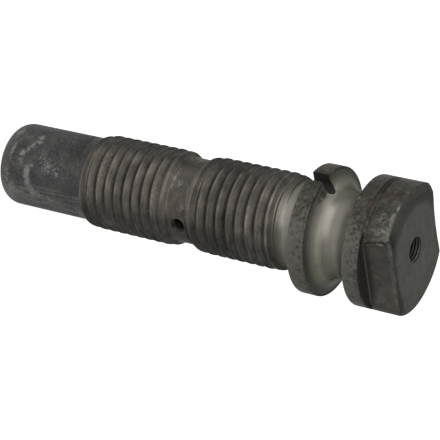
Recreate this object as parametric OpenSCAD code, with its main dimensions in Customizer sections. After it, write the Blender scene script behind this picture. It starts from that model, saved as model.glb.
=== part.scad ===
// Threaded spring pin, one turned and threaded piece of steel.
// The axis is Z, the tail end face is at Z = 0 and the head is on top.
// The wrench flats face +X and -X, and the lock notch in the collar faces -Y.

/* [Overall] */
// Length from the tail end face to the head end face
pin_len = 180; // [140:0.5:220]
// Diameter of the head, its flange and the collar
head_d = 50; // [41:0.1:62]

/* [Thread] */
// Outside diameter over the thread crests
thread_d = 38.1; // [31:0.1:40]
// Axial distance from one thread crest to the next
thread_pitch = 4.2333; // [3:0.0001:5]
// Axial width of the flat on a thread crest
thread_crest_w = 0.8; // [0.6:0.05:1.2]
// Axial width of the flat at the bottom of the thread groove
thread_root_w = 1; // [0.6:0.05:1.2]
// Full angle between the two sides of the thread groove
thread_angle = 60; // [50:1:70]
// Gap between the thread root and the plain necks and tail, on the radius
root_clear = 0.05; // [0.02:0.01:0.2]
// How much the crests fall off at the ends of a threaded length, on the radius
thread_end_drop = 0.4; // [0.2:0.05:0.8]
// Length over which the crests fall off
thread_end_len = 3.2; // [1:0.1:5]
// Length of the first threaded part, next to the tail
thread_1_len = 37.7; // [30:0.1:46]
// Height above the tail end face where the groove's middle starts, on the +X side
thread_start = 2.06; // [0:0.01:4]

/* [Tail] */
// Length of the rounding at the tail end
tail_round_len = 4; // [2:0.1:8]
// Depth of the rounding at the tail end, on the radius
tail_round_depth = 2.4; // [1:0.1:5]
// Axial length of the shoulder where the tail meets the thread
tail_shoulder_len = 1.2; // [0.5:0.1:3]

/* [Grease groove] */
// Distance from the collar back to the middle of the grease groove
grease_groove_back = 53; // [45:0.1:58]
// Width of the grease groove at its floor
grease_groove_w = 6.6; // [5:0.1:9]
// Axial length of each side of the grease groove
grease_side_len = 3; // [1.5:0.1:4]
// Diameter of the grease outlet drilled into the groove
outlet_d = 4; // [2.5:0.1:4.2]
// Diameter of the dished rim round the grease outlet
outlet_rim_d = 6; // [5.2:0.1:6.8]
// Height of the outlet above the middle of the groove
outlet_rise = 0.6; // [-1:0.1:1]
// Turn of the outlet about the axis, from the +X flat towards +Y
outlet_turn = -3.4; // [-20:0.1:20]

/* [Collar and relief] */
// Thickness of the collar
collar_t = 6.7; // [5:0.1:9]
// Width of the relief between the thread and the collar, at its floor
relief_w = 7.6; // [6:0.1:9]
// Axial length of the slope from the thread down to the relief floor
relief_side_len = 3.2; // [1.5:0.1:4]
// Radius where the relief floor turns up to the collar
relief_fillet = 1.6; // [0.5:0.1:3]
// Width of the lock notch in the collar
notch_w = 5.4; // [4.4:0.1:8]
// Depth of the lock notch from the collar rim
notch_depth = 6.8; // [4.6:0.1:7]
// Break of the sharp rims of the collar and the flange
rim_break = 0.4; // [0.2:0.1:1]

/* [Clamp groove] */
// Width of the clamp groove between the collar and the flange
clamp_w = 15.9; // [12:0.1:20]
// Diameter at the floor of the clamp groove
clamp_floor_d = 34.4; // [30:0.1:38]

/* [Head] */
// Thickness of the round flange under the flats
flange_t = 6.4; // [4:0.1:10]
// Length of the head from the flange to the end face
head_len = 12; // [8:0.1:20]
// Distance across the two wrench flats
flats_w = 36; // [30:0.1:40]
// Radius at the foot of the wrench flats
flats_fillet = 1.5; // [0.5:0.1:3]
// Size of the 45 degree chamfer along the end of each flat
flats_chamfer = 1.1; // [0.3:0.1:2]
// Depth of the bevel between each flat and the round of the head
flats_bevel = 0.7; // [0.2:0.1:1]
// Width of each of the two lines turned between the flange and the head
line_w = 0.7; // [0.4:0.1:1.4]
// Depth of each line
line_depth = 0.4; // [0.2:0.05:1]
// Distance from one line to the other
line_gap = 1.6; // [1.5:0.1:3]
// Axial length of the chamfer at the head end
head_chamfer_len = 1.2; // [0.5:0.1:3]
// Radial depth of the chamfer at the head end
head_chamfer_depth = 2.6; // [0.5:0.1:4]

/* [Grease passage] */
// Bore diameter of the grease nipple mouth, at the crests of its fine thread
mouth_d = 8.9; // [7:0.05:10]
// Depth of the grease nipple mouth
mouth_depth = 12; // [8:0.5:16]
// Diameter of the countersink at the mouth
mouth_sink_d = 10.4; // [10.2:0.1:12]
// Diameter of the long grease passage
passage_d = 5; // [4.4:0.1:6]
// How far the passage runs on below the outlet
passage_beyond = 1; // [0.5:0.1:4]
// Angle of the drill points
drill_point = 118; // [90:1:140]

/* [Hidden] */
$fn = 96;
over = 1;
thread_steps = 36;
arc_steps = 12;

head_r = head_d / 2;
thread_r = thread_d / 2;
thread_end_r = thread_r - thread_end_drop;
thread_slope = tan(thread_angle / 2);
thread_depth = (thread_pitch - thread_crest_w - thread_root_w) / 2 / thread_slope;
// The cutter stands out past the crests by less than would make its turns meet
thread_over = thread_crest_w / 4 / thread_slope;
root_r = thread_r - thread_depth;
neck_r = root_r - root_clear;
clamp_floor_r = clamp_floor_d / 2;
// The groove is half round, as far as its width and the height of its walls allow
clamp_fillet = min(clamp_w / 2, head_r - rim_break - clamp_floor_r);

head_z = pin_len - head_len;
flange_z = head_z - flange_t;
collar_top_z = flange_z - clamp_w;
collar_z = collar_top_z - collar_t;
relief_z = collar_z - relief_w;
thread_2_top_z = relief_z - relief_side_len;
grease_z = collar_z - grease_groove_back;
thread_2_z = grease_z + grease_groove_w / 2 + grease_side_len;
thread_1_top_z = grease_z - grease_groove_w / 2 - grease_side_len;
thread_1_z = thread_1_top_z - thread_1_len;

// Points of an arc round [r, z], from one angle to another
function arc(r, z, radius, from, to) =
    [for (i = [0 : arc_steps]) let (a = from + (to - from) * i / arc_steps)
        [r + radius * cos(a), z + radius * sin(a)]];

// Points of the rounded tail edge, a quarter of an ellipse
function tail_round() =
    [for (i = [0 : arc_steps]) let (a = -90 + 90 * i / arc_steps)
        [neck_r - tail_round_depth + tail_round_depth * cos(a),
         tail_round_len + tail_round_len * sin(a)]];

// Crest line of one threaded length, with its ends falling off
function thread_outline(from, to) = [
    [thread_end_r, from],
    [thread_r, from + thread_end_len],
    [thread_r, to - thread_end_len],
    [thread_end_r, to]
];

// Outline of one line turned into the head's rim at height z
function turned_line(z) = [
    [head_r, z - line_w / 2],
    [head_r - line_depth, z],
    [head_r, z + line_w / 2]
];

// The whole pin as one turned outline
module turned_outline() {
    polygon(concat(
        [[0, 0]],
        tail_round(),
        [[neck_r, thread_1_z - tail_shoulder_len]],
        thread_outline(thread_1_z, thread_1_top_z),
        [[neck_r, grease_z - grease_groove_w / 2], [neck_r, grease_z + grease_groove_w / 2]],
        thread_outline(thread_2_z, thread_2_top_z),
        [[neck_r, relief_z]],
        arc(neck_r + relief_fillet, collar_z - relief_fillet, relief_fillet, 180, 90),
        [[head_r - rim_break, collar_z], [head_r, collar_z + rim_break]],
        [[head_r, collar_top_z - rim_break], [head_r - rim_break, collar_top_z]],
        arc(clamp_floor_r + clamp_fillet, collar_top_z + clamp_fillet, clamp_fillet, 270, 180),
        arc(clamp_floor_r + clamp_fillet, flange_z - clamp_fillet, clamp_fillet, 180, 90),
        [[head_r - rim_break, flange_z], [head_r, flange_z + rim_break]],
        turned_line(head_z),
        turned_line(head_z + line_gap),
        [[head_r, pin_len - head_chamfer_len], [head_r - head_chamfer_depth, pin_len]],
        [[0, pin_len]]
    ));
}

// Right-handed groove of the screw thread, one lead for both threaded lengths
module thread_groove() {
    mouth_r = thread_r + thread_over;
    root_half = thread_root_w / 2;
    mouth_half = root_half + (mouth_r - root_r) * thread_slope;
    // Both ends of the groove lie in the air, over the plain tail and over the relief
    turns_below = floor((thread_1_z - tail_shoulder_len - mouth_half - thread_start) / thread_pitch);
    from = thread_start + turns_below * thread_pitch;
    steps = ceil((relief_z + mouth_half - from) / thread_pitch * thread_steps);
    // The root is set out so that the middles of its facets reach the root radius
    root_out = root_r / cos(180 / thread_steps);
    section = [[root_out, -root_half], [mouth_r, -mouth_half], [mouth_r, mouth_half], [root_out, root_half]];
    sides = len(section);
    points = [
        for (i = [0 : steps], p = section) let (a = 360 * i / thread_steps)
            [p[0] * cos(a), p[0] * sin(a), from + thread_pitch * i / thread_steps + p[1]]
    ];
    faces = [
        for (i = [0 : steps - 1], k = [0 : sides - 1]) let (n = (k + 1) % sides)
            [i * sides + k, i * sides + n, (i + 1) * sides + n, (i + 1) * sides + k]
    ];
    first = [for (k = [sides - 1 : -1 : 0]) k];
    last = [for (k = [0 : sides - 1]) steps * sides + k];
    polyhedron(points, concat(faces, [first, last]));
}

// Cutter for one wrench flat, with a rounded foot and a chamfered end
module flat_cutter() {
    translate([flats_w / 2, head_r + over, head_z])
        rotate([90, 0, 0])
            linear_extrude(2 * (head_r + over)) {
                translate([flats_fillet, 0]) square([head_r, head_len + over]);
                translate([0, flats_fillet]) square([head_r, head_len + over - flats_fillet]);
                translate([flats_fillet, flats_fillet]) circle(flats_fillet);
                translate([0, head_len - flats_chamfer])
                    polygon([[0, 0], [-flats_chamfer - over, flats_chamfer + over], [over, flats_chamfer + over]]);
            }
}

// Cutter for the bevel at one end of a flat, turned to stand square to the corner's middle
module bevel_cutter() {
    half_turn = acos(flats_w / head_d) / 2;
    from = head_r * cos(half_turn) - flats_bevel;
    rotate(half_turn) translate([from, -head_r, head_z]) cube([flats_bevel + over, head_d, head_len + over]);
}

// Cutter for the lock notch, rounded at its floor, through the collar and out into the clamp groove
module notch_cutter() {
    round_y = head_r - notch_depth + notch_w / 2;
    height = collar_t + clamp_w / 2 + over;
    translate([0, -round_y, collar_z - over]) cylinder(h = height, d = notch_w);
    translate([-notch_w / 2, -head_r - over, collar_z - over])
        cube([notch_w, head_r + over - round_y, height]);
}

// Nipple mouth, long passage and outlet, joined inside the pin
module grease_passage() {
    point = 1 / tan(drill_point / 2);
    mouth_r = mouth_d / 2;
    passage_r = passage_d / 2;
    outlet_r = outlet_d / 2;
    outlet_rim_r = outlet_rim_d / 2;
    outlet_z = grease_z + outlet_rise;
    passage_z = outlet_z - outlet_r - passage_beyond;
    translate([0, 0, pin_len - mouth_depth]) cylinder(h = mouth_depth + over, r = mouth_r);
    translate([0, 0, pin_len - mouth_depth - mouth_r * point])
        cylinder(h = mouth_r * point, r1 = 0, r2 = mouth_r);
    translate([0, 0, pin_len - (mouth_sink_d - mouth_d) / 2])
        cylinder(h = (mouth_sink_d - mouth_d) / 2 + over, r1 = mouth_r, r2 = mouth_sink_d / 2 + over);
    translate([0, 0, passage_z]) cylinder(h = head_z - passage_z, r = passage_r);
    translate([0, 0, passage_z - passage_r * point]) cylinder(h = passage_r * point, r1 = 0, r2 = passage_r);
    translate([0, 0, outlet_z]) rotate([0, 90, outlet_turn]) {
        cylinder(h = neck_r + over, r = outlet_r);
        translate([0, 0, neck_r - (outlet_rim_r - outlet_r)])
            cylinder(h = 2 * (outlet_rim_r - outlet_r), r1 = outlet_r, r2 = 2 * outlet_rim_r - outlet_r);
    }
}

module spring_pin() {
    color("dimgray")
        difference() {
            rotate_extrude() turned_outline();
            thread_groove();
            for (side = [0, 180]) rotate(side) {
                flat_cutter();
                bevel_cutter();
                mirror([0, 1, 0]) bevel_cutter();
            }
            notch_cutter();
            grease_passage();
        }
}

spring_pin();
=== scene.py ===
import math

import bpy
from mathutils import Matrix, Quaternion, Vector


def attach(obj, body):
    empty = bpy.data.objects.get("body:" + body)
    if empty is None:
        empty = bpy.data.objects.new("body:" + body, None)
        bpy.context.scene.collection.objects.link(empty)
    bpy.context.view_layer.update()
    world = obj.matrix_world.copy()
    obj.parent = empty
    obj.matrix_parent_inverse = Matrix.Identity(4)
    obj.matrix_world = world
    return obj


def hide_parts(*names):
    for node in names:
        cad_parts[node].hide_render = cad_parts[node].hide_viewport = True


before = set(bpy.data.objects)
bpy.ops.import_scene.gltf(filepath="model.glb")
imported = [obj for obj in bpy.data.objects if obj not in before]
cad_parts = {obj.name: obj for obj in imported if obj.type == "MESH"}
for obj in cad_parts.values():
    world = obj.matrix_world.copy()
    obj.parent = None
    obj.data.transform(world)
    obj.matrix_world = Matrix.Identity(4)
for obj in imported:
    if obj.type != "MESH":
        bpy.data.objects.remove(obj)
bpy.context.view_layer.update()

mm = 0.001
fullTurn = 2 * math.pi


def heading(turn, reach=1.0):
    # x and y across the pin, from a turn round its axis in degrees
    a = math.radians(turn)
    return reach * math.cos(a), reach * math.sin(a)


# Camera, fitted to the pin's outline in the photograph

cameraSpec = {
    "distance": 584.7 * mm,  # from the pin's axis
    "height": 415.93 * mm,  # above the tail end
    "turn": -43.0,  # degrees round the axis, from the flat that faces +X
    "aim": (3.58 * mm, 3.77 * mm, 97.18 * mm),
    "roll": 102.77,  # degrees, which lays the pin down across the picture
    "lens": 140.10,
    "sensor": 36.0,
}


def makeCamera():
    place = Vector((*heading(cameraSpec["turn"], cameraSpec["distance"]), cameraSpec["height"]))
    look = (Vector(cameraSpec["aim"]) - place).to_track_quat("-Z", "Y")
    rolled = look @ Quaternion((0, 0, 1), math.radians(cameraSpec["roll"]))
    bpy.ops.object.camera_add(location=place, rotation=rolled.to_euler())
    camera = bpy.context.object
    camera.data.lens = cameraSpec["lens"]
    camera.data.sensor_width = cameraSpec["sensor"]
    camera.data.clip_start = 0.01
    bpy.context.scene.camera = camera
    print("camera placed")


# Mesh helpers, with the gap in mm under which vertices are one, and the one under which edges line up

weldGap = 0.002
hair = 0.01


def deselectAll():
    if bpy.context.object and bpy.context.object.mode == "EDIT":
        bpy.ops.object.mode_set(mode="OBJECT")
    bpy.ops.object.select_all(action="DESELECT")


def pickEdges(piece, test):
    # selects the edges whose two ends pass the test, and stays in edit mode
    bpy.ops.object.mode_set(mode="EDIT")
    bpy.ops.mesh.select_mode(type="EDGE")
    bpy.ops.mesh.select_all(action="DESELECT")
    bpy.ops.object.mode_set(mode="OBJECT")
    for edge in piece.data.edges:
        edge.select = test(*(piece.data.vertices[i].co / mm for i in edge.vertices))
    bpy.ops.object.mode_set(mode="EDIT")


def outlineObject(name, points, closed=False):
    # a line of vertices in the XZ plane, drawn point by point from (radius, height) in mm
    deselectAll()
    points = [Vector((r * mm, 0, z * mm)) for r, z in points]
    bpy.ops.mesh.primitive_plane_add(size=mm, location=points[0])
    bpy.ops.object.transform_apply(location=True)
    bpy.ops.object.mode_set(mode="EDIT")
    bpy.ops.mesh.select_mode(type="VERT")
    bpy.ops.mesh.merge(type="CENTER")
    for before, after in zip(points, points[1:]):
        bpy.ops.mesh.extrude_vertices_move(TRANSFORM_OT_translate={"value": after - before})
    if closed:
        bpy.ops.mesh.select_all(action="SELECT")
        bpy.ops.mesh.edge_face_add()
    bpy.ops.object.mode_set(mode="OBJECT")
    made = bpy.context.object
    made.name = made.data.name = name
    return made


def spun(name, points, steps):
    # a turned solid from its outline, which starts and ends on the axis
    made = outlineObject(name, points)
    bpy.ops.object.mode_set(mode="EDIT")
    bpy.ops.mesh.select_all(action="SELECT")
    bpy.ops.mesh.spin(steps=steps, angle=fullTurn, center=(0, 0, 0), axis=(0, 0, 1))
    bpy.ops.mesh.select_all(action="SELECT")
    bpy.ops.mesh.remove_doubles(threshold=weldGap * mm)
    bpy.ops.mesh.normals_make_consistent(inside=False)
    bpy.ops.object.mode_set(mode="OBJECT")
    return made


def screwed(name, section, pitch, turns, steps):
    # a closed section carried up a right-handed helix, with both ends closed
    made = outlineObject(name, section, closed=True)
    bpy.ops.object.mode_set(mode="EDIT")
    bpy.ops.mesh.delete(type="ONLY_FACE")
    bpy.ops.object.mode_set(mode="OBJECT")
    screw = made.modifiers.new("screw", "SCREW")
    screw.axis = "Z"
    screw.screw_offset = pitch * mm
    screw.iterations = turns
    screw.steps = screw.render_steps = steps
    screw.use_normal_calculate = True
    bpy.ops.object.modifier_apply(modifier="screw")
    bpy.ops.object.mode_set(mode="EDIT")
    bpy.ops.mesh.select_all(action="SELECT")
    bpy.ops.mesh.fill_holes(sides=0)
    bpy.ops.mesh.select_all(action="SELECT")
    bpy.ops.mesh.normals_make_consistent(inside=False)
    bpy.ops.object.mode_set(mode="OBJECT")
    return made


def cutWith(piece, cutter):
    deselectAll()
    piece.select_set(True)
    bpy.context.view_layer.objects.active = piece
    cut = piece.modifiers.new("cut", "BOOLEAN")
    cut.operation = "DIFFERENCE"
    cut.solver = "MANIFOLD"
    cut.object = cutter
    bpy.ops.object.modifier_apply(modifier="cut")
    bpy.data.objects.remove(cutter)


def arc(r, z, radius, start, end, count):
    angles = [math.radians(start + (end - start) * i / count) for i in range(count + 1)]
    return [(r + radius * math.cos(a), z + radius * math.sin(a)) for a in angles]


def slope(r0, z0, r1, z1, count=7):
    # a soft shoulder from one radius to another, hollow at its foot and round at its top
    steps = [i / count for i in range(count + 1)]
    return [(r0 + (r1 - r0) * t * t * (3 - 2 * t), z0 + (z1 - z0) * t) for t in steps]


# The turned body

pin = {
    "steps": 192,
    "length": 180.0,
    "neckR": 16.893,
    "tailRound": (2.4, 4.0),  # depth and length of the rounded tail edge
    "tailRing": (36.7, 0.35, 0.14),  # a faint tool mark: place, half width, depth
    "threadR": 19.05,
    "threadEndR": 18.65,
    "threadEndLen": 3.2,
    "thread1": (42.0, 79.7),
    "thread2": (92.3, 128.2),
    "tailShoulder": 1.2,
    "greaseFloor": (82.7, 89.3),
    "reliefFloor": 133.4,
    "reliefFillet": 1.6,
    "headR": 25.0,
    "collar": (139.0, 145.7),
    "flange": (161.6, 168.0),
    "clampFloorR": 17.2,
    "clampFillet": 7.4,
    "rimRound": 0.4,
    "lines": (168.0, 169.6),
    "lineW": 0.7,
    "lineDepth": 0.28,
    "chamfer": (2.6, 1.2),  # depth on the end face and length on the rim
    "smoothBelow": 32.0,  # degrees between faces that are shaded as one
    "faceDish": ((21.4, 0.06), (20.5, 0.14), (19.0, 0.38), (17.2, 0.6), (15.6, 0.69), (14.4, 0.7)),
}


def turnedOutline():
    p = pin
    neck, crest, endR, end = p["neckR"], p["threadR"], p["threadEndR"], p["threadEndLen"]
    depth, length = p["tailRound"]
    rim, head, line = p["rimRound"], p["headR"], p["lineW"] / 2
    tail = [(neck - depth + depth * math.cos(a), length + length * math.sin(a))
            for a in (math.radians(-90 + 90 * i / 12) for i in range(13))]
    ring, half, deep = p["tailRing"]
    points = [(0, 0)] + tail
    points += [(neck, ring - half), (neck - deep, ring), (neck, ring + half)]
    for (low, high), foot, after in (
        (p["thread1"], p["thread1"][0] - p["tailShoulder"], p["greaseFloor"][0]),
        (p["thread2"], p["greaseFloor"][1], p["reliefFloor"]),
    ):
        points += slope(neck, foot, endR, low)
        points += [(crest, low + end), (crest, high - end)]
        points += slope(endR, high, neck, after)
    collarLow, collarHigh = p["collar"]
    flangeLow = p["flange"][0]
    fillet = p["reliefFillet"]
    points += arc(neck + fillet, collarLow - fillet, fillet, 180, 90, 8)
    points += arc(head - rim, collarLow + rim, rim, -90, 0, 4)
    points += arc(head - rim, collarHigh - rim, rim, 0, 90, 4)
    fillet = p["clampFillet"]
    points += arc(p["clampFloorR"] + fillet, collarHigh + fillet, fillet, 270, 180, 20)
    points += arc(p["clampFloorR"] + fillet, flangeLow - fillet, fillet, 180, 90, 20)
    points += arc(head - rim, flangeLow + rim, rim, -90, 0, 4)
    for z in p["lines"]:
        points += [(head, z - line), (head - p["lineDepth"], z), (head, z + line)]
    points += [(head, p["length"] - p["chamfer"][1]), (head - p["chamfer"][0], p["length"])]
    points += [(r, p["length"] - drop) for r, drop in p["faceDish"]]
    return points + [(0, points[-1][1])]


# The screw thread

thread = {
    "pitch": 4.2333,  # 6 threads to an inch
    "rootR": 16.943,
    "rootHalf": 0.5,  # half the width of the groove's floor
    "slope": math.tan(math.radians(30)),  # of both sides of a 60 degree groove
    "edgeBreak": 0.12,
    "start": 35.926,  # height at which the helix starts
    "turns": 23,
    "steps": 192,
}


def threadSection():
    t = thread
    crest = pin["threadR"]
    half = t["rootHalf"]
    side = half + (crest - t["edgeBreak"] - t["rootR"]) * t["slope"]
    mouth = side + 2 * t["edgeBreak"]
    upper = [(t["rootR"], half * 0.5), (t["rootR"] + 0.12, half + 0.02), (crest - t["edgeBreak"], side)]
    upper += [(crest + t["edgeBreak"] * 0.2, mouth)]
    lower = [(r, -z) for r, z in reversed(upper)]
    return [(r, z + t["start"]) for r, z in upper + lower]


# The wrench flats and the bevels at their ends

flats = {
    "x": 18.0,
    "foot": 168.0,
    "fillet": 1.5,
    "reach": 17.3,  # half the length of the milled pocket, just short of the rim
    "corner": 2.2,  # radius of the pocket's outer corners
    "chamfer": (0.6, 1.9),  # depth and length of the chamfer at the end face
    "outside": 30.0,  # how far the cutters reach, well past the rim
    "bevelSize": (3.0, 26.0, 14.0),
    "bevels": [  # turn round the axis, distance from it half way up, lean outwards in degrees
        (-21.97, 22.88, 5.3),
        (21.97, 22.48, 0),
        (158.03, 22.48, 0),
        (201.97, 22.48, 0),
    ],
}


def slab(name, outline, side, halfLength):
    # an outline drawn on one side of the axis and drawn out along Y
    made = outlineObject(name, [(side * r, z) for r, z in outline], closed=True)
    bpy.ops.object.mode_set(mode="EDIT")
    bpy.ops.mesh.select_all(action="SELECT")
    bpy.ops.transform.translate(value=(0, -halfLength * mm, 0))
    bpy.ops.mesh.extrude_region_move(TRANSFORM_OT_translate={"value": (0, 2 * halfLength * mm, 0)})
    bpy.ops.mesh.select_all(action="SELECT")
    bpy.ops.mesh.normals_make_consistent(inside=False)
    bpy.ops.object.mode_set(mode="OBJECT")
    return made


def flatTool(side):
    f = flats
    end = pin["length"] - f["chamfer"][1]
    points = [(f["outside"], end), (f["outside"], f["foot"])]
    points += arc(f["x"] + f["fillet"], f["foot"] + f["fillet"], f["fillet"], 270, 180, 8)
    made = slab("flatTool", points + [(f["x"], end)], side, f["reach"])
    pickEdges(made, lambda a, b: min(a.z, b.z) > end - hair and abs(a.y - b.y) < hair)
    bpy.ops.mesh.bevel(offset=f["corner"] * mm, segments=6)
    bpy.ops.object.mode_set(mode="OBJECT")
    return made


def chamferTool(side):
    # everything beyond a sloping plane, which also trims what the round corners leave
    f = flats
    depth, length = f["chamfer"]
    out = f["outside"]
    top, low = pin["length"] + 2, pin["length"] - 6
    atLow, atTop = (f["x"] - (z - pin["length"] + length) * depth / length for z in (low, top))
    return slab("chamferTool", [(atLow, low), (out, low), (out, top), (atTop, top)], side, out)


def bevelTool(turn, away, lean):
    width, _, height = flats["bevelSize"]
    x, y = heading(turn, away + width / 2)
    middle = flats["foot"] + height / 2 + width * math.sin(math.radians(lean))
    deselectAll()
    bpy.ops.mesh.primitive_cube_add(
        size=mm, scale=flats["bevelSize"], rotation=(0, math.radians(lean), math.radians(turn)),
        location=(x * mm, y * mm, middle * mm))
    bpy.ops.object.transform_apply(location=True, rotation=True, scale=True)
    return bpy.context.object


# The lock notch in the collar

notch = {
    "halfW": 2.4,
    "x": -0.3,
    "floorY": -18.7,
    "outY": -27.0,
    "z": (138.0, 154.65),
}


def notchTool():
    n = notch
    low, high = n["z"]
    deselectAll()
    bpy.ops.mesh.primitive_cube_add(
        size=mm, scale=(2 * n["halfW"], n["floorY"] - n["outY"], high - low),
        location=(n["x"] * mm, (n["floorY"] + n["outY"]) / 2 * mm, (low + high) / 2 * mm))
    bpy.ops.object.transform_apply(location=True, scale=True)
    tool = bpy.context.object
    pickEdges(tool, lambda a, b: abs(a.x - b.x) < hair and min(a.y, b.y) > n["floorY"] - hair)
    # both inner edges are rounded until they nearly meet
    bpy.ops.mesh.bevel(offset=(n["halfW"] - 0.05) * mm, segments=9)
    bpy.ops.object.mode_set(mode="OBJECT")
    return tool


# The grease nipple mouth with its fine thread, the long passage and the outlet

grease = {
    "steps": 64,
    "mouthR": 4.45,
    "mouthFloor": 168.0,
    "sinkR": 5.05,
    "passageR": 2.5,
    "passageEnd": 83.6,
    "drillPoint": 0.6009,  # height of a drill's point for each mm of its radius
    "outletSteps": 48,
    "outletR": 2.0,
    "outletRimR": 3.0,
    "outletWear": 1.12,  # how much wider it has worn round the pin than along it
    "outletZ": 86.6,
    "outletTurn": -3.4,
    "fineRootR": 5.0,
    "finePitch": 1.25,  # as far apart as its turns look in the photograph
    "fineTurns": 9,
}


def passageTool():
    g = grease
    top = pin["length"] - pin["faceDish"][-1][1]
    step = (g["mouthR"] - g["passageR"]) * g["drillPoint"]
    sink = g["sinkR"] - g["mouthR"]
    return spun("passageTool", [
        (0, g["passageEnd"] - g["passageR"] * g["drillPoint"]), (g["passageR"], g["passageEnd"]),
        (g["passageR"], g["mouthFloor"] - step), (g["mouthR"], g["mouthFloor"]),
        (g["mouthR"], top - sink), (g["sinkR"], top), (g["sinkR"] + 1, top + 1), (0, top + 1)], g["steps"])


def fineThreadTool():
    g = grease
    deep, shallow = 0.1, 0.52  # half widths at the root and at the mouth
    start = g["mouthFloor"] + 1.0
    section = [(g["fineRootR"], start - deep), (g["fineRootR"], start + deep)]
    section += [(g["mouthR"] - 0.07, start + shallow), (g["mouthR"] - 0.07, start - shallow)]
    return screwed("fineThreadTool", section, g["finePitch"], g["fineTurns"], g["steps"])


def outletTool():
    g = grease
    r, rim, neck = g["outletR"], g["outletRimR"], pin["neckR"]
    made = spun("outletTool", [(0, 0), (r, 0), (r, neck - (rim - r)), (rim + 0.5, neck + 0.5),
                               (rim + 0.5, neck + 3), (0, neck + 3)], g["outletSteps"])
    bpy.ops.object.mode_set(mode="EDIT")
    bpy.ops.mesh.select_all(action="SELECT")
    bpy.ops.transform.resize(value=(1, g["outletWear"], 1), center_override=(0, 0, 0))
    # with no window a positive turn goes clockwise, so both angles are negative
    bpy.ops.transform.rotate(value=-math.radians(90), orient_axis="Y", center_override=(0, 0, 0))
    bpy.ops.transform.rotate(value=-math.radians(g["outletTurn"]), orient_axis="Z", center_override=(0, 0, 0))
    bpy.ops.transform.translate(value=(0, 0, g["outletZ"] * mm))
    bpy.ops.object.mode_set(mode="OBJECT")
    return made


# Dents and nicks that the pin has taken: turn round the axis, height, radius of the dent, depth

dents = [
    (-79, 103.4, 1.1, 0.75),
    (-62, 117.6, 1.0, 0.35),
    (-30, 74.6, 0.9, 0.3),
    (-64, 62.0, 0.8, 0.3),
    (118, 57.5, 1.2, 0.45),
    (205, 110.2, 1.0, 0.4),
]


def dentTool(turn, z, radius, depth):
    x, y = heading(turn, pin["threadR"] + radius - depth)
    deselectAll()
    bpy.ops.mesh.primitive_ico_sphere_add(
        subdivisions=3, radius=radius * mm, location=(x * mm, y * mm, z * mm))
    bpy.ops.object.transform_apply(location=True)
    return bpy.context.object


def makePin():
    body = spun("springPin", turnedOutline(), pin["steps"])
    print("pin turned:", len(body.data.polygons), "faces")
    for side in (1, -1):
        cutWith(body, flatTool(side))
        cutWith(body, chamferTool(side))
    for bevel in flats["bevels"]:
        cutWith(body, bevelTool(*bevel))
    cutWith(body, notchTool())
    print("flats, bevels and notch cut:", len(body.data.polygons), "faces")
    cutWith(body, passageTool())
    cutWith(body, fineThreadTool())
    cutWith(body, outletTool())
    print("grease passage cut:", len(body.data.polygons), "faces")
    cutWith(body, screwed("groove", threadSection(), thread["pitch"], thread["turns"], thread["steps"]))
    for dent in dents:
        cutWith(body, dentTool(*dent))
    print("thread cut:", len(body.data.polygons), "faces")
    return body


# Materials

def srgb(text):
    # a colour written as sRGB hex, as the linear numbers that the shaders take
    parts = [int(text[i:i + 2], 16) / 255 for i in (1, 3, 5)]
    return [c / 12.92 if c <= 0.04045 else ((c + 0.055) / 1.055) ** 2.4 for c in parts] + [1.0]


# Settings of nodes that are used often

multiplied = {"data_type": "RGBA", "blend_type": "MULTIPLY"}
mixed = {"data_type": "RGBA"}
smooth = {"interpolation_type": "SMOOTHSTEP"}


def addNode(tree, kind, inputs=None, stops=None, **settings):
    # an input is a value, a socket, or a node, which gives the first of its outputs that is in use
    node = tree.nodes.new("ShaderNode" + kind)
    for key, value in settings.items():
        setattr(node, key, value)
    for key, value in (inputs or {}).items():
        if isinstance(value, bpy.types.Node):
            value = next(output for output in value.outputs if output.enabled)
        if isinstance(value, bpy.types.NodeSocket):
            tree.links.new(value, node.inputs[key])
        else:
            node.inputs[key].default_value = value
    if stops:
        # a ramp's colours or greys, by place
        ramp = node.color_ramp
        while len(ramp.elements) < len(stops):
            ramp.elements.new(1.0)
        for element, (place, colour) in zip(ramp.elements, stops):
            element.position = place
            element.color = srgb(colour) if isinstance(colour, str) else (colour, colour, colour, 1)
    return node


def newMaterial(name):
    # an empty material, its node tree, and a point's place on the pin, its height and its radius, all in
    # mm, so that the scale of a pattern is how many of its lumps lie in a mm
    made = bpy.data.materials.new(name)
    made.use_nodes = True
    tree = made.node_tree
    tree.nodes.clear()
    place = addNode(tree, "TexCoord").outputs["Object"]
    where = addNode(tree, "VectorMath", {0: place, 1: (1000, 1000, 1000)}, operation="MULTIPLY")
    flat = addNode(tree, "VectorMath", {0: where, 1: (1, 1, 0)}, operation="MULTIPLY")
    radius = addNode(tree, "VectorMath", {0: flat}, operation="LENGTH")
    height = addNode(tree, "SeparateXYZ", {0: where}).outputs["Z"]
    return made, tree, where, height, radius


def finished(made, colour, roughness, metallic, specular, relief, strength, depth, tint="#ffffff"):
    # the end of every material: its shader, with a fine relief taken from a pattern
    tree = made.node_tree
    bump = addNode(tree, "Bump", {"Strength": strength, "Distance": depth * mm, "Height": relief})
    shader = addNode(tree, "BsdfPrincipled", {
        "Base Color": colour, "Roughness": roughness, "Metallic": metallic,
        "Specular IOR Level": specular, "Specular Tint": srgb(tint), "Normal": bump})
    addNode(tree, "OutputMaterial", {"Surface": shader})
    return made


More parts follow.
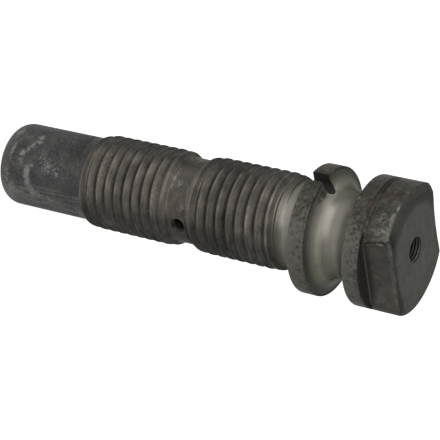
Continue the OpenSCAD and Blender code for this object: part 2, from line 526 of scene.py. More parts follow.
def patchMask(tree, where, patches, radius, low, high):
    # pale wisps, used for scuffs, dirt and painted glints: soft round patches, a torn noise and thin
    # wandering lines, cut off where their sum is low
    torn = addNode(tree, "TexNoise", {"Vector": where, "Scale": 0.9, "Detail": 6.0, "Roughness": 0.7,
                                      "Distortion": 0.7})
    lines = addNode(tree, "TexNoise", {"Vector": where, "Scale": 0.4, "Detail": 4.0, "Roughness": 0.6,
                                       "Distortion": 1.6})
    lines = addNode(tree, "Math", {0: lines, 1: 0.5}, operation="SUBTRACT")
    lines = addNode(tree, "Math", {0: lines}, operation="ABSOLUTE")
    lines = addNode(tree, "MapRange", {0: lines, 1: 0.0, 2: 0.06, 3: 0.3, 4: 0.0})
    torn = addNode(tree, "Math", {0: torn, 1: lines}, operation="ADD")
    total = None
    for turn, z, across, along, strength in patches:
        centre = (*heading(turn, radius), z)
        away = addNode(tree, "VectorMath", {0: where, 1: centre}, operation="SUBTRACT")
        away = addNode(tree, "VectorMath", {0: away, 1: (1 / across, 1 / across, 1 / along)},
                       operation="MULTIPLY")
        away = addNode(tree, "VectorMath", {0: away}, operation="LENGTH")
        near = addNode(tree, "MapRange", {0: away, 1: 0.2, 2: 1.8, 3: strength, 4: 0.0}, **smooth)
        total = near if total is None else addNode(
            tree, "Math", {0: total, 1: near}, operation="MAXIMUM")
    total = addNode(tree, "Math", {0: total, 1: torn}, operation="ADD")
    return addNode(tree, "MapRange", {0: total, 1: low, 2: high, 3: 0.0, 4: 0.9}, **smooth)


# Pale scuffs on the threads and in the grease groove, one of them a painted highlight: turn, height, size
# across, size along, strength

threadScuffsAndGlint = [
    (-60, 85.8, 2.4, 1.8, 0.45),
    # a painted highlight: a thin pale streak on the grease groove's tail-side shoulder
    (-66, 82.2, 5.0, 0.6, 0.5),
    (-35, 76.0, 8.0, 1.2, 0.4),
    (-20, 75.0, 5.0, 2.0, 0.35),
    (-66, 50.0, 7.0, 4.0, 0.28),
    (-30, 89.0, 3.0, 1.0, 0.35),
    (-113, 86.0, 3.0, 2.0, 0.42),
    (140, 88.0, 4.0, 2.0, 0.45),
    (220, 60.0, 6.0, 4.0, 0.35),
    (100, 112.0, 6.0, 3.0, 0.35),
]


def phosphatedSteel():
    # cut steel with a dark phosphate coat: matt brown grey, black in the roots with dirt and painted shade,
    # rubbed pale on some crests, with painted light and shade by depth and side
    made, tree, where, height, radius = newMaterial("phosphatedSteel")
    depth = addNode(tree, "Attribute", attribute_name="cutDepth").outputs["Fac"]
    mottle = addNode(tree, "TexNoise", {"Vector": where, "Scale": 0.16, "Detail": 5.0, "Roughness": 0.62})
    grain = addNode(tree, "TexNoise", {"Vector": where, "Scale": 1.5, "Detail": 3.0, "Roughness": 0.6})
    around = addNode(tree, "VectorMath", {0: where, 1: (0.10, 0.10, 1.5)}, operation="MULTIPLY")
    streak = addNode(tree, "TexNoise", {"Vector": around, "Scale": 1.0, "Detail": 4.0, "Roughness": 0.6})
    colour = addNode(tree, "ValToRGB", {0: mottle},
                     [(0.30, "#474440"), (0.42, "#53504b"), (0.56, "#5e5953"), (0.68, "#6b665f")])
    fleck = addNode(tree, "ValToRGB", {0: grain}, [(0.35, 0.80), (0.5, 1.0), (0.68, 1.22)])
    colour = addNode(tree, "Mix", {0: 0.7, 6: colour, 7: fleck}, **multiplied)
    lines = addNode(tree, "ValToRGB", {0: streak}, [(0.35, 0.80), (0.5, 1.0), (0.66, 1.2)])
    colour = addNode(tree, "Mix", {0: 0.8, 6: colour, 7: lines}, **multiplied)
    # painted light: half way down the thread's sides the coat is painted paler against the shade they lie in,
    # and the bottom is dark with dirt and painted shade
    deep = addNode(tree, "MapRange", {0: depth, 1: 0.0, 2: 2.1, 3: 0.0, 4: 1.0})
    wearAndPaintedLight = addNode(tree, "ValToRGB", {0: deep},
                   [(0.0, 1.0), (0.15, 1.0), (0.45, 1.2), (0.7, 1.35), (0.86, 1.3), (0.97, 0.3)])
    crestwise = addNode(tree, "MapRange", {0: depth, 1: 0.0, 2: 0.3, 3: 1.0, 4: 0.0})
    # painted shade: away from one side the coat is darker and a cold grey green, and up to a quarter turn
    # from that side painted light pales its grooves
    facing = addNode(tree, "VectorMath", {0: where, 1: (*heading(-50), 0)}, operation="DOT_PRODUCT")
    facing = addNode(tree, "Math", {0: facing, 1: radius}, operation="DIVIDE")
    cold = addNode(tree, "MapRange", {0: facing, 1: 0.93, 2: 0.66, 3: 0.0, 4: 1.0}, **smooth)
    share = addNode(tree, "MapRange", {0: radius, 1: 17.0, 2: 17.4, 3: 0.4, 4: 1.0})
    share = addNode(tree, "MapRange", {0: depth, 1: 0.0, 2: 0.1, 3: share, 4: 1.0})
    cold = addNode(tree, "Math", {0: cold, 1: share}, operation="MULTIPLY")
    paintedGrooveLight = addNode(tree, "ValToRGB", {0: deep},
                    [(0.0, 0.9), (0.15, 0.88), (0.45, 1.2), (0.7, 1.42), (0.88, 1.3), (1.0, 0.8)])
    paintedGrooveLightMask = addNode(tree, "MapRange", {0: facing, 1: -0.2, 2: 0.1, 3: 0.0, 4: 1.0})
    paintedGrooveLightMask = addNode(tree, "Math", {0: paintedGrooveLightMask, 1: cold}, operation="MULTIPLY")
    wearAndPaintedLight = addNode(tree, "Mix", {0: paintedGrooveLightMask, 6: wearAndPaintedLight, 7: paintedGrooveLight}, **mixed)
    colour = addNode(tree, "Mix", {0: 1.0, 6: colour, 7: wearAndPaintedLight}, **multiplied)
    colour = addNode(tree, "Mix", {0: cold, 6: colour, 7: srgb("#cad0d3")}, **multiplied)
    # the second length of thread is a little darker up to its middle, and paler by the relief
    along = addNode(tree, "MapRange", {0: height, 1: 80.0, 2: 130.0, 3: 0.0, 4: 1.0})
    along = addNode(tree, "ValToRGB", {0: along},
                    [(0.24, 1.0), (0.34, 0.85), (0.56, 0.8), (0.7, 0.98), (0.82, 1.16)])
    colour = addNode(tree, "Mix", {0: 1.0, 6: colour, 7: along}, **multiplied)
    # the grease groove stayed darker than the thread
    inGroove = addNode(tree, "MapRange", {0: radius, 1: 17.1, 2: 18.3, 3: 0.78, 4: 1.0})
    inGroove = addNode(tree, "Mix", {0: crestwise, 6: (1, 1, 1, 1), 7: inGroove}, **mixed)
    colour = addNode(tree, "Mix", {0: 1.0, 6: colour, 7: inGroove}, **multiplied)
    # some crests are rubbed to metal
    crest = addNode(tree, "MapRange", {0: depth, 1: 0.0, 2: 0.5, 3: 1.0, 4: 0.0})
    onThread = addNode(tree, "MapRange", {0: radius, 1: 17.2, 2: 18.6, 3: 0.0, 4: 1.0})
    rubbedAndGlint = addNode(tree, "MapRange", {0: streak, 1: 0.56, 2: 0.72, 3: 0.0, 4: 0.5})
    wearAndPaintedLight = addNode(tree, "Math", {0: crest, 1: rubbedAndGlint}, operation="MULTIPLY")
    wearAndPaintedLight = addNode(tree, "Math", {0: wearAndPaintedLight, 1: onThread}, operation="MULTIPLY")
    patches = patchMask(tree, where, threadScuffsAndGlint, radius=18.0, low=0.86, high=1.24)
    wearAndPaintedLight = addNode(tree, "Math", {0: wearAndPaintedLight, 1: patches}, operation="MAXIMUM")
    colour = addNode(tree, "Mix", {0: wearAndPaintedLight, 6: colour, 7: srgb("#7f7b72")}, **mixed)
    rough = addNode(tree, "MapRange", {0: wearAndPaintedLight, 1: 0.0, 2: 1.0, 3: 0.46, 4: 0.38})
    return finished(made, colour, roughness=rough, metallic=0.35, specular=0.05, tint="#808080",
                    relief=grain, strength=0.5, depth=0.05)


# Pale scuffs on the tail: turn, height, size across, size along, strength

tailScuffs = [
    (-29, 14.5, 3.8, 1.6, 0.72),
    (-16, 15.2, 3.4, 1.8, 0.58),
    (-4, 16.8, 2.8, 2.0, 0.58),
    (-1, 19.5, 2.0, 2.4, 0.48),
    (-42, 16.4, 1.1, 1.5, 0.46),
    (-48, 11.0, 3.4, 1.3, 0.46),
    (-56, 10.5, 1.5, 1.3, 0.66),
    (-64, 12.6, 2.0, 1.0, 0.42),
    (-71, 13.8, 2.0, 1.1, 0.45),
    (-77, 16.0, 1.2, 2.2, 0.50),
    (-86, 15.5, 1.6, 1.6, 0.56),
    (-45, 24.5, 3.6, 3.6, 0.38),
    (-39, 28.0, 3.0, 3.0, 0.36),
    (-54, 21.0, 3.0, 2.4, 0.36),
    (-2, 6.5, 3.6, 2.8, 0.52),
    (3, 9.0, 3.0, 4.0, 0.42),
    (5, 4.5, 6.0, 3.0, 0.52),
    (-22, 4.5, 5.0, 2.0, 0.42),
    (4, 22.0, 3.0, 8.0, 0.38),
    (-88, 4.5, 4.0, 1.5, 0.46),
    (-58, 5.5, 5.0, 1.0, 0.46),
    (150, 20.0, 5.0, 4.0, 0.4),
    (215, 12.0, 4.0, 2.5, 0.5),
    (80, 27.0, 4.5, 5.0, 0.35),
    (110, 9.0, 3.0, 2.5, 0.45),
]


def tailSteel():
    # the plain tail's coat: cold dark grey going brown, scuffed through to pale wisps, with a rubbed end and
    # painted shade on one side beside the thread
    made, tree, where, height = newMaterial("tailSteel")[:4]
    mottle = addNode(tree, "TexNoise", {"Vector": where, "Scale": 0.14, "Detail": 6.0, "Roughness": 0.66})
    grain = addNode(tree, "TexNoise", {"Vector": where, "Scale": 0.8, "Detail": 6.0, "Roughness": 0.72})
    tint = addNode(tree, "TexNoise", {"Vector": where, "Scale": 0.09, "Detail": 3.0, "Roughness": 0.5})
    cold = addNode(tree, "ValToRGB", {0: mottle},
                   [(0.34, "#353535"), (0.5, "#3e3e3e"), (0.62, "#484746")])
    brown = addNode(tree, "ValToRGB", {0: mottle},
                    [(0.34, "#373634"), (0.5, "#403f3d"), (0.62, "#4c4b48")])
    side = addNode(tree, "MapRange", {0: tint, 1: 0.5, 2: 0.68, 3: 0.0, 4: 1.0})
    colour = addNode(tree, "Mix", {0: side, 6: cold, 7: brown}, **mixed)
    fleck = addNode(tree, "ValToRGB", {0: grain}, [(0.34, 0.66), (0.5, 1.0), (0.66, 1.4)])
    colour = addNode(tree, "Mix", {0: 0.9, 6: colour, 7: fleck}, **multiplied)
    # painted shade: beside the thread one side is darker
    shade = addNode(tree, "VectorMath", {0: where, 1: (*heading(-93, 1 / pin["neckR"]), 0)},
                    operation="DOT_PRODUCT")
    shade = addNode(tree, "MapRange", {0: shade, 1: 0.75, 2: 0.95, 3: 0.0, 4: 1.0})
    byThread = addNode(tree, "MapRange", {0: height, 1: 23.0, 2: 31.0, 3: 0.0, 4: 0.32})
    shade = addNode(tree, "Math", {0: shade, 1: byThread}, operation="MULTIPLY")
    colour = addNode(tree, "Mix", {0: shade, 6: colour, 7: (0, 0, 0, 1)}, **mixed)
    patches = patchMask(tree, where, tailScuffs, radius=pin["neckR"], low=0.88, high=1.14)
    # thin pale lines wander over the coat
    veins = addNode(tree, "TexNoise", {"Vector": where, "Scale": 0.22, "Detail": 6.0, "Roughness": 0.62,
                                       "Distortion": 1.8})
    veins = addNode(tree, "Math", {0: veins, 1: 0.52}, operation="SUBTRACT")
    veins = addNode(tree, "Math", {0: veins}, operation="ABSOLUTE")
    veins = addNode(tree, "MapRange", {0: veins, 1: 0.0, 2: 0.022, 3: 0.42, 4: 0.0})
    veins = addNode(tree, "Math", {0: veins, 1: grain}, operation="MULTIPLY")
    patches = addNode(tree, "Math", {0: patches, 1: veins}, operation="MAXIMUM")
    edge = addNode(tree, "MapRange", {0: height, 1: 0.0, 2: 6.0, 3: 0.8, 4: 0.0})
    edge = addNode(tree, "Math", {0: edge, 1: grain}, operation="MULTIPLY")
    patches = addNode(tree, "Math", {0: patches, 1: edge}, operation="MAXIMUM")
    colour = addNode(tree, "Mix", {0: patches, 6: colour, 7: srgb("#7b7b78")}, **mixed)
    # scratches run along the axis on one side
    drawn = addNode(tree, "VectorMath", {0: where, 1: (0.9, 0.9, 0.06)}, operation="MULTIPLY")
    scratch = addNode(tree, "TexNoise", {"Vector": drawn, "Scale": 1.0, "Detail": 5.0, "Roughness": 0.7})
    side = addNode(tree, "VectorMath", {0: where, 1: (*heading(5.7, 1 / pin["neckR"]), 0)},
                   operation="DOT_PRODUCT")
    side = addNode(tree, "MapRange", {0: side, 1: 0.90, 2: 1.0, 3: 0.0, 4: 1.0})
    scratch = addNode(tree, "MapRange", {0: scratch, 1: 0.44, 2: 0.62, 3: 0.0, 4: 0.6})
    scratch = addNode(tree, "Math", {0: scratch, 1: side}, operation="MULTIPLY")
    colour = addNode(tree, "Mix", {0: scratch, 6: colour, 7: srgb("#838380")}, **mixed)
    return finished(made, colour, roughness=0.6, metallic=0.1, specular=0.1,
                    relief=grain, strength=0.5, depth=0.06)


# By the lock notch, dirt and then painted glints: turn, height, size across, size along, strength

notchDirt = [
    (-79, 146.5, 2.2, 1.2, 0.8),
    (-71, 146.2, 2.2, 0.9, 0.6),
]
notchGlint = [
    (-98, 148.1, 0.7, 0.7, 0.78),
    (-103, 147.4, 0.7, 0.7, 0.7),
    (-90, 149.0, 1.2, 0.5, 0.66),
]


def turnedSteel():
    # bare turned steel: satin and warm grey, with fine rings, darker at the groove's walls, dirt by the
    # notch, painted highlights in the groove, the relief and at the notch's tip, and painted shade away from
    # one side
    made, tree, where, height, radius = newMaterial("turnedSteel")
    # the lathe's feed marks, about 0.2 mm apart, are drawn twice as coarse so that they show
    around = addNode(tree, "VectorMath", {0: where, 1: (0.015, 0.015, 2.4)}, operation="MULTIPLY")
    rings = addNode(tree, "TexNoise", {"Vector": around, "Scale": 1.0, "Detail": 3.0, "Roughness": 0.6})
    mottle = addNode(tree, "TexNoise", {"Vector": where, "Scale": 0.12, "Detail": 4.0, "Roughness": 0.55})
    colour = addNode(tree, "ValToRGB", {0: mottle},
                     [(0.32, "#66635d"), (0.5, "#6d6a63"), (0.68, "#757169")])
    lines = addNode(tree, "ValToRGB", {0: rings}, [(0.34, 0.86), (0.5, 1.0), (0.66, 1.12)])
    colour = addNode(tree, "Mix", {0: 0.8, 6: colour, 7: lines}, **multiplied)
    low, high = pin["collar"][1], pin["flange"][0]
    span = high - low
    # painted highlight: the clamp groove is paler on the collar side and by the flange, and darker at the
    # feet of its walls
    byWall = addNode(tree, "MapRange", {0: height, 1: low, 2: high, 3: 0.0, 4: 1.0})
    dirtAndPaintedLight = addNode(tree, "ValToRGB", {0: byWall},
                   [(0.0, 0.5), (0.5 / span, 0.8), (1.3 / span, 1.5), (2.8 / span, 1.7), (4.3 / span, 1.08),
                    (11.3 / span, 1.0), (13.2 / span, 1.6), (14.8 / span, 1.15), (1.0, 0.85)])
    colour = addNode(tree, "Mix", {0: 0.9, 6: colour, 7: dirtAndPaintedLight}, **multiplied)
    # dirt lies on the collar's wall beside the notch
    dirtAndPaintedLight = patchMask(tree, where, notchDirt, radius=21.5, low=0.75, high=1.5)
    colour = addNode(tree, "Mix", {0: dirtAndPaintedLight, 6: colour, 7: srgb("#30302c")}, **mixed)
    # painted highlight: the relief below the collar is brighter in its middle
    paintedReliefHighlight = addNode(tree, "MapRange", {0: height, 1: 128.0, 2: 138.0, 3: 0.0, 4: 1.0})
    paintedReliefHighlight = addNode(tree, "ValToRGB", {0: paintedReliefHighlight},
                     [(0.0, 1.0), (0.3, 1.15), (0.5, 2.2), (0.7, 1.65), (0.9, 1.25), (1.0, 1.0)])
    colour = addNode(tree, "Mix", {0: 1.0, 6: colour, 7: paintedReliefHighlight}, **multiplied)
    # painted shade: away from one side the steel is darker and a little grey green
    facing = addNode(tree, "VectorMath", {0: where, 1: (*heading(-52), 0)}, operation="DOT_PRODUCT")
    facing = addNode(tree, "Math", {0: facing, 1: radius}, operation="DIVIDE")
    paintedShadeTint = addNode(tree, "MapRange", {0: facing, 1: 0.985, 2: 0.68, 3: 0.0, 4: 1.0}, **smooth)
    colour = addNode(tree, "Mix", {0: paintedShadeTint, 6: colour, 7: srgb("#d8ddd7")}, **multiplied)
    # painted highlight: a pale glint along the notch's edge at its tip
    rubbedAndGlint = patchMask(tree, where, notchGlint, radius=19.4, low=0.8, high=1.3)
    colour = addNode(tree, "Mix", {0: rubbedAndGlint, 6: colour, 7: srgb("#908d86")}, **mixed)
    rough = addNode(tree, "MapRange", {0: rings, 1: 0.3, 2: 0.7, 3: 0.36, 4: 0.43})
    onWall = addNode(tree, "MapRange", {0: radius, 1: 18.6, 2: 21.5, 3: 0.7, 4: 0.05})
    return finished(made, colour, roughness=rough, metallic=onWall, specular=0.05, tint="#808080",
                    relief=rings, strength=0.3, depth=0.02)


# Pale chips on the rims: turn, height, size across, size along, strength

rimScuffs = [
    (-74, 178.3, 1.6, 0.9, 0.44),
    (-64, 177.7, 3.6, 0.9, 0.42),
    (-54, 177.9, 3.0, 0.9, 0.42),
    (-51, 175.8, 1.4, 1.8, 0.36),
    (-63, 173.8, 3.4, 2.2, 0.27),
    (-76.5, 161.9, 0.9, 0.7, 0.5),
    (160, 177.5, 3.0, 1.2, 0.5),
    (70, 164.0, 3.0, 1.5, 0.45),
]


def scaledRim():
    # rolled bar skin left on the rims: dark brown grey scale, pitted, chipped pale along the edges
    made, tree, where, height = newMaterial("scaledRim")[:4]
    mottle = addNode(tree, "TexNoise", {"Vector": where, "Scale": 0.22, "Detail": 6.0, "Roughness": 0.65})
    grain = addNode(tree, "TexNoise", {"Vector": where, "Scale": 0.75, "Detail": 6.0, "Roughness": 0.74})
    colour = addNode(tree, "ValToRGB", {0: mottle},
                     [(0.34, "#302e2b"), (0.5, "#3d3a36"), (0.64, "#4a4742")])
    fleck = addNode(tree, "ValToRGB", {0: grain}, [(0.34, 0.68), (0.5, 1.0), (0.6, 1.4), (0.7, 2.1)])
    colour = addNode(tree, "Mix", {0: 0.8, 6: colour, 7: fleck}, **multiplied)
    tint = addNode(tree, "TexNoise", {"Vector": where, "Scale": 0.16, "Detail": 3.0, "Roughness": 0.6})
    tint = addNode(tree, "ValToRGB", {0: tint}, [(0.46, "#e9f3ee"), (0.6, "#faf1ef")])
    colour = addNode(tree, "Mix", {0: 1.0, 6: colour, 7: tint}, **multiplied)
    # the rims' edges and one side are chipped to a grey green
    low, span = 138.0, 43.0  # heights that take in all the rims
    byHeight = addNode(tree, "MapRange", {0: height, 1: low, 2: low + span, 3: 0.0, 4: 1.0})
    edge = addNode(tree, "ValToRGB", {0: byHeight}, [
        ((z - low) / span, grey) for z, grey in (
            (139.0, 0.25), (140.4, 0.15), (144.6, 0.05), (145.6, 0.1), (161.7, 0.2), (163.2, 0.1),
            (167.0, 0.05), (170.0, 0.0), (175.5, 0.12), (178.6, 0.2))])
    side = addNode(tree, "VectorMath", {0: where, 1: (*heading(-12.8, 1 / pin["headR"]), 0)},
                   operation="DOT_PRODUCT")
    side = addNode(tree, "MapRange", {0: side, 1: 0.5, 2: 0.95, 3: 0.0, 4: 0.33})
    chipped = addNode(tree, "Math", {0: edge, 1: side}, operation="ADD")
    chipped = addNode(tree, "Math", {0: chipped, 1: grain}, operation="ADD")
    chipped = addNode(tree, "MapRange", {0: chipped, 1: 0.64, 2: 1.03, 3: 0.0, 4: 0.85}, **smooth)
    colour = addNode(tree, "Mix", {0: chipped, 6: colour, 7: srgb("#605f59")}, **mixed)
    chips = patchMask(tree, where, rimScuffs, radius=pin["headR"], low=0.84, high=1.26)
    colour = addNode(tree, "Mix", {0: chips, 6: colour, 7: srgb("#7d7971")}, **mixed)
    # dirt fills the two scribed lines on one side
    inLines = addNode(tree, "ValToRGB", {0: byHeight}, [
        ((z - low) / span, grey) for z, grey in (
            (167.5, 0.0), (167.8, 0.9), (169.8, 0.9), (170.2, 0.0))])
    away = addNode(tree, "SeparateXYZ", {0: where}).outputs["X"]
    away = addNode(tree, "MapRange", {0: away, 1: 3.0, 2: -4.0, 3: 0.0, 4: 1.0})
    inLines = addNode(tree, "Math", {0: inLines, 1: away}, operation="MULTIPLY")
    colour = addNode(tree, "Mix", {0: inLines, 6: colour, 7: srgb("#1c1a18")}, **mixed)
    rough = addNode(tree, "MapRange", {0: grain, 1: 0.3, 2: 0.7, 3: 0.56, 4: 0.42})
    return finished(made, colour, roughness=rough, metallic=0.25, specular=0.1, tint="#808080",
                    relief=grain, strength=0.7, depth=0.09)


def milledFlat():
    # milled steel gone dark and a little olive, black at its foot with crud and painted shade, darker along
    # its ends, with painted highlights
    made, tree, where, height = newMaterial("milledFlat")[:4]
    fromCentre = addNode(tree, "VectorMath", {0: where, 1: (0, 40.0, 195.0)}, operation="DISTANCE")
    track = addNode(tree, "CombineXYZ", {0: fromCentre})
    arcs = addNode(tree, "TexNoise", {"Vector": track, "Scale": 2.0, "Detail": 3.0})
    mottle = addNode(tree, "TexNoise", {"Vector": where, "Scale": 0.3, "Detail": 5.0, "Roughness": 0.6})
    colour = addNode(tree, "ValToRGB", {0: mottle},
                     [(0.32, "#34332f"), (0.44, "#43423d"), (0.56, "#474540"), (0.68, "#58564f")])
    lines = addNode(tree, "ValToRGB", {0: arcs}, [(0.35, 0.88), (0.5, 1.0), (0.66, 1.10)])
    colour = addNode(tree, "Mix", {0: 0.7, 6: colour, 7: lines}, **multiplied)
    # painted light and shade by height: black at the foot with crud and painted shade, a painted highlight
    # line in the foot's fillet, a pale strip on the end chamfer that is partly wear and partly painted light,
    # and a dark line at the end edge
    foot = addNode(tree, "MapRange", {0: height, 1: 168.0, 2: 180.0, 3: 0.0, 4: 1.0})
    foot = addNode(tree, "ValToRGB", {0: foot},
                   [(0.0, 0.15), (0.025, 0.3), (0.04, 1.25), (0.06, 0.5), (0.12, 0.6), (0.22, 1.0),
                    (0.835, 0.95), (0.85, 1.25), (0.95, 1.2), (0.985, 0.5)])
    colour = addNode(tree, "Mix", {0: 1.0, 6: colour, 7: foot}, **multiplied)
    # the pocket's upper corner is round, with a painted shade line in it and pale steel outside, partly wear
    # and partly painted light
    corner = addNode(tree, "VectorMath", {0: where, 1: (0, 1, 1)}, operation="MULTIPLY")
    corner = addNode(tree, "VectorMath", {0: corner, 1: (0, -14.7, 175.7)}, operation="DISTANCE")
    corner = addNode(tree, "MapRange", {0: corner, 1: 1.5, 2: 3.5, 3: 0.0, 4: 1.0})
    corner = addNode(tree, "ValToRGB", {0: corner},
                     [(0.0, 1.0), (0.25, 0.55), (0.42, 0.45), (0.6, 1.2), (1.0, 1.2)])
    parts = addNode(tree, "SeparateXYZ", {0: where})
    outer = addNode(tree, "MapRange", {0: parts.outputs["Y"], 1: -14.4, 2: -15.0, 3: 0.0, 4: 1.0})
    upper = addNode(tree, "MapRange", {0: parts.outputs["Z"], 1: 175.2, 2: 176.2, 3: 0.0, 4: 1.0})
    outer = addNode(tree, "Math", {0: outer, 1: upper}, operation="MULTIPLY")
    colour = addNode(tree, "Mix", {0: outer, 6: colour, 7: corner}, **multiplied)
    # a painted shade line, black, along the pocket's upper edge, which leans outwards, and darker towards its
    # lower end
    slant = 0.249
    beyond = addNode(tree, "VectorMath", {0: where, 1: (0, -1, -slant)}, operation="DOT_PRODUCT")
    edge = addNode(tree, "MapRange", {0: beyond, 1: -32.05, 2: -27.05, 3: 0.0, 4: 1.0})
    edge = addNode(tree, "ValToRGB", {0: edge},
                   [(0.0, 1.0), (0.4, 0.8), (0.82, 0.8), (0.9, 0.3), (1.0, 0.25)])
    colour = addNode(tree, "Mix", {0: 1.0, 6: colour, 7: edge}, **multiplied)
    across = addNode(tree, "SeparateXYZ", {0: where}).outputs["Y"]
    lower = addNode(tree, "MapRange", {0: across, 1: 11.0, 2: 18.0, 3: 1.0, 4: 0.5})
    colour = addNode(tree, "Mix", {0: 1.0, 6: colour, 7: lower}, **multiplied)
    # a painted highlight: a small glint just under the pocket's upper edge
    glint = patchMask(tree, where, [(-40.3, 175.0, 0.4, 1.3, 0.8)], radius=23.7, low=0.9, high=1.3)
    colour = addNode(tree, "Mix", {0: glint, 6: colour, 7: srgb("#7b7972")}, **mixed)
    return finished(made, colour, roughness=0.55, metallic=0.2, specular=0.15,
                    relief=arcs, strength=0.5, depth=0.03)


def facedEnd():
    # a faced end: satin grey green steel with the facing tool's rings, darker in a ring towards the rim, most
    # on one side, and darker towards one flat
    made, tree, where, _, radius = newMaterial("facedEnd")
    track = addNode(tree, "VectorMath", {0: where, 1: (0.02, 0.02, 0)}, operation="MULTIPLY")
    sides = addNode(tree, "SeparateXYZ", {0: track})
    finer = addNode(tree, "Math", {0: radius, 1: 1.8}, operation="MULTIPLY")
    track = addNode(tree, "CombineXYZ", {0: sides.outputs["X"], 1: sides.outputs["Y"], 2: finer})
    rings = addNode(tree, "TexNoise", {"Vector": track, "Scale": 1.0, "Detail": 3.0, "Roughness": 0.6})
    mottle = addNode(tree, "TexNoise", {"Vector": where, "Scale": 0.28, "Detail": 5.0, "Roughness": 0.6})
    colour = addNode(tree, "ValToRGB", {0: mottle},
                     [(0.32, "#54544f"), (0.5, "#5b5b56"), (0.68, "#62625d")])
    lines = addNode(tree, "ValToRGB", {0: rings}, [(0.34, 0.93), (0.5, 1.0), (0.66, 1.06)])
    colour = addNode(tree, "Mix", {0: 0.8, 6: colour, 7: lines}, **multiplied)
    byRim = addNode(tree, "MapRange", {0: radius, 1: 0.0, 2: 25.0, 3: 0.0, 4: 1.0})
    rimRingDark = addNode(tree, "ValToRGB", {0: byRim},
                   [(0.2, 0.9), (0.5, 1.0), (0.66, 0.95), (0.76, 0.6), (0.81, 0.5), (0.9, 0.55), (1.0, 0.6)])
    nearSide = addNode(tree, "VectorMath", {0: where, 1: (*heading(-60, 0.05), 0)},
                       operation="DOT_PRODUCT")
    nearSide = addNode(tree, "MapRange", {0: nearSide, 1: -0.6, 2: 0.1, 3: 0.2, 4: 1.0})
    rimRingDark = addNode(tree, "Mix", {0: nearSide, 6: (1, 1, 1, 1), 7: rimRingDark}, **mixed)
    colour = addNode(tree, "Mix", {0: 1.0, 6: colour, 7: rimRingDark}, **multiplied)
    across = addNode(tree, "SeparateXYZ", {0: where}).outputs["X"]
    across = addNode(tree, "MapRange", {0: across, 1: 13.5, 2: 16.5, 3: 1.0, 4: 0.5})
    colour = addNode(tree, "Mix", {0: 1.0, 6: colour, 7: across}, **multiplied)
    return finished(made, colour, roughness=0.5, metallic=0.3, specular=0.05, tint="#808080",
                    relief=rings, strength=0.2, depth=0.02)


def drilledSteel():
    # drilled and tapped steel: bright thread turns in the mouth, black further in
    made, tree, where, height, radius = newMaterial("drilledSteel")
    mottle = addNode(tree, "TexNoise", {"Vector": where, "Scale": 0.8, "Detail": 4.0})
    clean = addNode(tree, "ValToRGB", {0: mottle}, [(0.3, "#54524d"), (0.5, "#74716b"), (0.7, "#86837c")])
    # the thread's roots and the sunk rim are full of dirt
    root = addNode(tree, "MapRange", {0: radius, 1: 4.42, 2: 4.72, 3: 0.0, 4: 0.9})
    clean = addNode(tree, "Mix", {0: root, 6: clean, 7: srgb("#1c1b19")}, **mixed)
    black = addNode(tree, "ValToRGB", {0: mottle}, [(0.35, "#1f1e1c"), (0.65, "#35342f")])
    inMouth = addNode(tree, "MapRange", {0: height, 1: 150.0, 2: 172.0, 3: 0.0, 4: 1.0})
    colour = addNode(tree, "Mix", {0: inMouth, 6: black, 7: clean}, **mixed)
    # a grey lump of old grease under the rim
    lump = addNode(tree, "VectorMath", {0: where, 1: (2.9, 3.8, 178.4)}, operation="DISTANCE")
    lump = addNode(tree, "MapRange", {0: lump, 1: 1.6, 2: 1.3, 3: 0.0, 4: 0.95})
    colour = addNode(tree, "Mix", {0: lump, 6: colour, 7: srgb("#474743")}, **mixed)
    return finished(made, colour, roughness=0.4, metallic=0.4, specular=0.1, tint="#808080",
                    relief=mottle, strength=0.3, depth=0.03)


def crudAndShadeBlack():
    # dried grease and road dirt packed into the notch and under the flats, with painted shade there: nearly
    # black and dull
    made, tree, where = newMaterial("crudAndShadeBlack")[:3]
    lumps = addNode(tree, "TexNoise", {"Vector": where, "Scale": 0.9, "Detail": 5.0, "Roughness": 0.65})
    colour = addNode(tree, "ValToRGB", {0: lumps}, [(0.35, "#1a1816"), (0.6, "#2b2826"), (0.75, "#3c3935")])
    return finished(made, colour, roughness=0.75, metallic=0.0, specular=0.12,
                    relief=lumps, strength=0.8, depth=0.15)


finishes = {
    "phosphatedSteel": phosphatedSteel,
    "tailSteel": tailSteel,
    "turnedSteel": turnedSteel,
    "scaledRim": scaledRim,
    "milledFlat": milledFlat,
    "facedEnd": facedEnd,
    "drilledSteel": drilledSteel,
    "crudAndShadeBlack": crudAndShadeBlack,
}


# Where the finishes meet, beside the sizes above, in mm

limits = {
    "slack": 0.05,
    "scaleR": 22.3,  # outside it the flange keeps its scale on its wall too
    "notchY": -15.9,
    "crudAndShadeR": 20.7,  # the notch's floor is black inside this radius
    "crudAndShadeTop": 150.5,  # and below this height
}


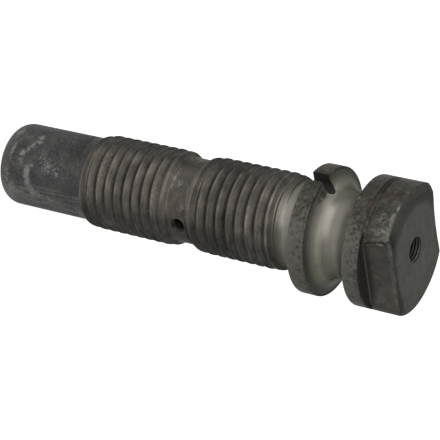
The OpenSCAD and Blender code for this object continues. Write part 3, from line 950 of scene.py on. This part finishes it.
def zoneOf(place, normal):
    # the finish of a face, from where its middle lies in mm and which way it looks
    r, z = math.hypot(place.x, place.y), place.z
    slack = limits["slack"]
    tail = pin["thread1"][0] - pin["tailShoulder"]
    collarLow, collarHigh = pin["collar"]
    sinkR = grease["sinkR"] - 0.02
    inMouth = r < sinkR and z > 1
    inPassage = r < pin["neckR"] - 0.15 and tail < z < collarLow
    if inMouth or inPassage:
        return "drilledSteel"
    if z > flats["foot"] - slack and abs(place.x) > flats["x"] - flats["chamfer"][0] - slack:
        if normal.z > 0.9 and z < flats["foot"] + 0.3 or normal.z < -0.3:
            return "crudAndShadeBlack"
        onBevel = 0.3 < normal.y < 0.45 and place.x > 0
        nearFlat = r < pin["headR"] - 0.3 and abs(place.x) < flats["x"] + flats["fillet"] + 0.1
        if onBevel or abs(normal.y) < 0.2 and nearFlat:
            return "milledFlat"
    if z > pin["length"] - pin["chamfer"][1] - slack and normal.z > 0.6 and r > sinkR:
        return "facedEnd"
    if z > pin["flange"][0] - slack and r > limits["scaleR"]:
        return "scaledRim"
    inNotch = abs(place.x - notch["x"]) < notch["halfW"] + slack and place.y < limits["notchY"]
    if inNotch and notch["z"][0] < z < notch["z"][1] and abs(normal.z) < 0.2 and r < pin["headR"] - 0.01:
        if abs(normal.x) > 0.8 or r < limits["crudAndShadeR"] and z < limits["crudAndShadeTop"]:
            return "crudAndShadeBlack"
    if collarLow - slack < z < collarHigh + slack and r > -notch["floorY"] - 0.2:
        return "scaledRim"
    if pin["thread2"][1] - 0.1 < z < pin["flange"][0]:
        return "turnedSteel"
    return "tailSteel" if z < tail + slack else "phosphatedSteel"


def paintPin(body):
    body.data.materials.clear()
    for make in finishes.values():
        body.data.materials.append(make())
    zones = list(finishes)
    counts = dict.fromkeys(zones, 0)
    for face in body.data.polygons:
        zone = zoneOf(face.center / mm, face.normal)
        face.material_index = zones.index(zone)
        counts[zone] += 1
    # how deep each point of the thread lies below the turned crests
    outline = [(z, r) for r, z in turnedOutline() if z < pin["collar"][0] - pin["reliefFillet"]]
    depth = body.data.attributes.new("cutDepth", "FLOAT", "POINT")
    values = []
    for v in body.data.vertices:
        z = v.co.z / mm
        r = math.hypot(v.co.x, v.co.y) / mm
        near = [i for i in range(len(outline) - 1) if outline[i][0] <= z < outline[i + 1][0]]
        if not near:
            values.append(0.0)
            continue
        (z0, r0), (z1, r1) = outline[near[-1]], outline[near[-1] + 1]
        values.append(max(0.0, r0 + (r1 - r0) * (z - z0) / (z1 - z0) - r))
    depth.data.foreach_set("value", values)
    print("finishes:", counts)


# Room: a white floor and background, and soft lamps

room = {
    "floor": "#f4f4f4",
    "floorSize": 6,
    "floorGlow": 0.85,
    "skyLight": 0.2,
    "lamps": [
        # name, degrees round the axis from +X, height, distance, width, tallness, watts
        ("key", -66, 0.42, 1.0, 1.4, 0.6, 9.5),
        ("top", -50, 1.30, 0.5, 0.7, 0.7, 2.0),
    ],
}


def seenRays(tree):
    # 1 for what the camera sees, straight, in a gloss or through glass, and 0 for what only lights the pin
    path = addNode(tree, "LightPath")
    seen = addNode(tree, "Math", {0: path.outputs["Is Camera Ray"], 1: path.outputs["Is Glossy Ray"]},
                   operation="MAXIMUM")
    return addNode(tree, "Math", {0: seen, 1: path.outputs["Is Transmission Ray"]}, operation="MAXIMUM")


def makeFloor():
    deselectAll()
    bpy.ops.mesh.primitive_plane_add(size=room["floorSize"], location=(0, 0, 0))
    floor = bpy.context.object
    floor.name = "floor"
    made = bpy.data.materials.new("floorWhite")
    made.use_nodes = True
    tree = made.node_tree
    tree.nodes.clear()
    seen = seenRays(tree)
    paint = addNode(tree, "BsdfDiffuse", {"Color": srgb(room["floor"])})
    glow = addNode(tree, "Emission", {"Color": (1, 1, 1, 1), "Strength": room["floorGlow"]})
    none = addNode(tree, "Emission", {"Color": (0, 0, 0, 1), "Strength": 0.0})
    lit = addNode(tree, "MixShader", {0: seen, 1: none, 2: glow})
    both = addNode(tree, "AddShader", {0: paint, 1: lit})
    addNode(tree, "OutputMaterial", {"Surface": both})
    floor.data.materials.append(made)


def makeSky():
    world = bpy.data.worlds.new("sky")
    bpy.context.scene.world = world
    world.use_nodes = True
    tree = world.node_tree
    tree.nodes.clear()
    seen = seenRays(tree)
    white = addNode(tree, "Background", {"Color": (1, 1, 1, 1), "Strength": 1.0})
    light = addNode(tree, "Background", {"Color": (1, 1, 1, 1), "Strength": room["skyLight"]})
    both = addNode(tree, "MixShader", {0: seen, 1: light, 2: white})
    addNode(tree, "OutputWorld", {"Surface": both})


def makeLamps():
    middle = Vector((0, 0, 0.1))
    for name, turn, height, distance, width, tallness, watts in room["lamps"]:
        place = Vector((*heading(turn, distance), height))
        aimed = (middle - place).to_track_quat("-Z", "Y").to_euler()
        bpy.ops.object.light_add(type="AREA", location=place, rotation=aimed)
        lamp = bpy.context.object
        lamp.name = name
        lamp.data.shape = "RECTANGLE"
        lamp.data.size = width
        lamp.data.size_y = tallness
        lamp.data.energy = watts
    print("lamps set")


makeCamera()
body = makePin()
paintPin(body)
deselectAll()
body.select_set(True)
bpy.context.view_layer.objects.active = body
bpy.ops.object.shade_smooth_by_angle(angle=math.radians(pin["smoothBelow"]))
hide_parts("spring_pin")
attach(body, "root")
makeFloor()
makeSky()
makeLamps()
bpy.context.scene.view_settings.view_transform = "Standard"
